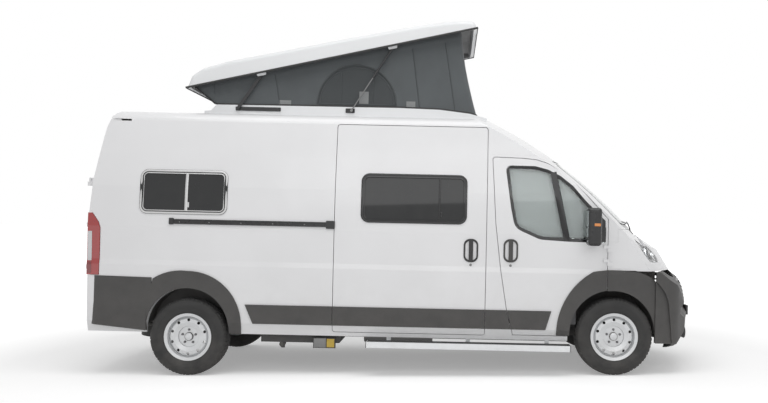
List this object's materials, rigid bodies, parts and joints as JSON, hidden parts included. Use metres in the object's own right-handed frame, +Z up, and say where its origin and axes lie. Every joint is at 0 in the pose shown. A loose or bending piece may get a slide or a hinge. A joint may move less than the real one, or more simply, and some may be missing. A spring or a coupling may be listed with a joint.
{
  "type": "camper van",
  "caption": "High-roof long-wheelbase camper van with a raised pop-top roof tent, hinged doors and hood, steered front wheels and a sliding side door.",
  "frame": {"origin": "centre of the bounding box on the ground plane under the wheels", "axes": "+X forward towards the nose, +Y to the van's left, +Z up"},
  "size_m": [5.9931, 2.508, 3.4255],
  "materials": {
    "body_paint": "gloss",
    "lid_shell": "gloss",
    "dark_plastic": "matt, fine grain",
    "black_gloss": "gloss",
    "glass_tint": "tinted",
    "glass_clear": "clear",
    "lamp_clear": "clear lens",
    "lamp_red": "gloss lens",
    "tent_cloth": "woven, matt",
    "tyre_rubber": "matt",
    "wheel_silver": "silver satin",
    "aluminium_bare": "satin",
    "steel_dark": "satin",
    "chassis_black": "satin",
    "cast_grey": "raw",
    "tank_plastic": "matt",
    "seat_cloth": "woven",
    "dash_plastic": "fine grain",
    "furniture_wood": "satin laminate"
  },
  "bodies": {
    "van_body": {"arch_flares": "dark_plastic", "cab_seats": "seat_cloth", "chassis_rails": "chassis_black", "dashboard": "dash_plastic", "engine": "cast_grey", "exhaust": "steel_dark", "fender_left": "body_paint", "fender_right": "body_paint", "floor_pan": "dark_plastic", "front_bumper": "dark_plastic", "front_structure": "dark_plastic", "front_suspension": "chassis_black", "furniture": "furniture_wood", "grille": "black_gloss", "headlamps": "lamp_clear", "lift_brackets": "aluminium_bare", "rear_axle": "chassis_black", "rear_bumper": "dark_plastic", "roof_collar": "lid_shell", "roof_panel": "body_paint", "running_board": "aluminium_bare", "side_panel_left": "body_paint", "side_panel_right": "body_paint", "side_windows": "glass_tint", "sill_cladding": "dark_plastic", "sliding_door": "body_paint", "sliding_door_fittings": "black_gloss", "spare_wheel": "tyre_rubber", "steering_wheel": "dash_plastic", "tail_lamps": "lamp_red", "tanks": "tank_plastic", "tent": "tent_cloth", "windscreen": "glass_clear"},
    "front_door_right_body": {"front_door_right": "body_paint", "front_door_glass_right": "glass_tint", "front_door_trim_right": "dark_plastic", "door_mirror_right": "black_gloss"},
    "rear_door_right_body": {"rear_door_right": "body_paint", "rear_door_glass_right": "glass_tint"},
    "knuckle_right": {"steering_knuckle_right": "cast_grey"},
    "front_wheel_right": {"tyre_front_right": "tyre_rubber", "wheel_front_right": "wheel_silver"},
    "rear_wheel_right": {"tyre_rear_right": "tyre_rubber", "wheel_rear_right": "wheel_silver"},
    "front_door_left_body": {"front_door_left": "body_paint", "front_door_glass_left": "glass_tint", "front_door_trim_left": "dark_plastic", "door_mirror_left": "black_gloss"},
    "rear_door_left_body": {"rear_door_left": "body_paint", "rear_door_glass_left": "glass_tint"},
    "knuckle_left": {"steering_knuckle_left": "cast_grey"},
    "front_wheel_left": {"tyre_front_left": "tyre_rubber", "wheel_front_left": "wheel_silver"},
    "rear_wheel_left": {"tyre_rear_left": "tyre_rubber", "wheel_rear_left": "wheel_silver"},
    "hood_body": {"hood": "body_paint"},
    "lift_arm_pair": {"lift_arms": "aluminium_bare"},
    "lid": {"roof_lid": "lid_shell"},
    "strut_tube_pair": {"strut_tubes": "steel_dark"},
    "strut_rod_pair": {"strut_rods": "steel_dark"}
  },
  "joints": [
    {"name": "front_door_right_hinge", "type": "hinge", "parent": "van_body", "child": "front_door_right_body", "pos_m": [1.99012, -1.029, 1.15151], "axis": [0.0218, 0, 0.9998], "range_deg": [0, 65]},
    {"name": "rear_door_right_hinge", "type": "hinge", "parent": "van_body", "child": "rear_door_right_body", "pos_m": [-2.96343, -0.881, 1.40964], "axis": [0.0218, 0, 0.9998], "range_deg": [0, 175]},
    {"name": "steer_right", "type": "hinge", "parent": "van_body", "child": "knuckle_right", "pos_m": [2.051, -0.88, 0.366], "axis": [0.0218, 0, 0.9998], "range_deg": [-33, 33]},
    {"name": "front_wheel_right_spin", "type": "hinge", "parent": "knuckle_right", "child": "front_wheel_right", "pos_m": [2.051, -0.905, 0.366], "axis": [0, 1, 0], "continuous": true},
    {"name": "rear_wheel_right_spin", "type": "hinge", "parent": "van_body", "child": "rear_wheel_right", "pos_m": [-1.984, -0.905, 0.366], "axis": [0, 1, 0], "continuous": true},
    {"name": "front_door_left_hinge", "type": "hinge", "parent": "van_body", "child": "front_door_left_body", "pos_m": [1.99012, 1.029, 1.15151], "axis": [0.0218, 0, 0.9998], "range_deg": [-65, 0]},
    {"name": "rear_door_left_hinge", "type": "hinge", "parent": "van_body", "child": "rear_door_left_body", "pos_m": [-2.96343, 0.881, 1.40964], "axis": [0.0218, 0, 0.9998], "range_deg": [-175, 0]},
    {"name": "steer_left", "type": "hinge", "parent": "van_body", "child": "knuckle_left", "pos_m": [2.051, 0.88, 0.366], "axis": [0.0218, 0, 0.9998], "range_deg": [-33, 33]},
    {"name": "front_wheel_left_spin", "type": "hinge", "parent": "knuckle_left", "child": "front_wheel_left", "pos_m": [2.051, 0.905, 0.366], "axis": [0, 1, 0], "continuous": true},
    {"name": "rear_wheel_left_spin", "type": "hinge", "parent": "van_body", "child": "rear_wheel_left", "pos_m": [-1.984, 0.905, 0.366], "axis": [0, 1, 0], "continuous": true},
    {"name": "hood_hinge", "type": "hinge", "parent": "van_body", "child": "hood_body", "pos_m": [2.41577, 0, 1.31427], "axis": [0, 1, 0], "range_deg": [-50, 0]},
    {"name": "lift_arm_hinge", "type": "hinge", "parent": "van_body", "child": "lift_arm_pair", "pos_m": [-1.59274, 0, 2.57201], "axis": [0, 1, 0], "range_deg": [0, 58.9]},
    {"name": "roof_lid_hinge", "type": "hinge", "parent": "lift_arm_pair", "child": "lid", "pos_m": [-1.3526, 0, 2.90992], "axis": [0, 1, 0], "range_deg": [-46.09, 0], "deforming": ["tent"]},
    {"name": "strut_tube_hinge", "type": "hinge", "parent": "lid", "child": "strut_tube_pair", "pos_m": [-0.06402, 0, 3.17224], "axis": [0, 1, 0], "range_deg": [0, 47.69]},
    {"name": "strut_rod_slide", "type": "slide", "parent": "strut_tube_pair", "child": "strut_rod_pair", "axis": [0.5492, 0, 0.8357], "range_m": [0, 0.13416]}
  ],
  "couplings": [
    {"joint": "lift_arm_hinge", "follows": "roof_lid_hinge", "ratio": -1.2777},
    {"joint": "strut_tube_hinge", "follows": "roof_lid_hinge", "ratio": -1.0345},
    {"joint": "strut_rod_slide", "follows": "roof_lid_hinge", "m_per_rad": -0.16676},
    {"joint": "steer_left", "follows": "steer_right", "ratio": 1}
  ]
}
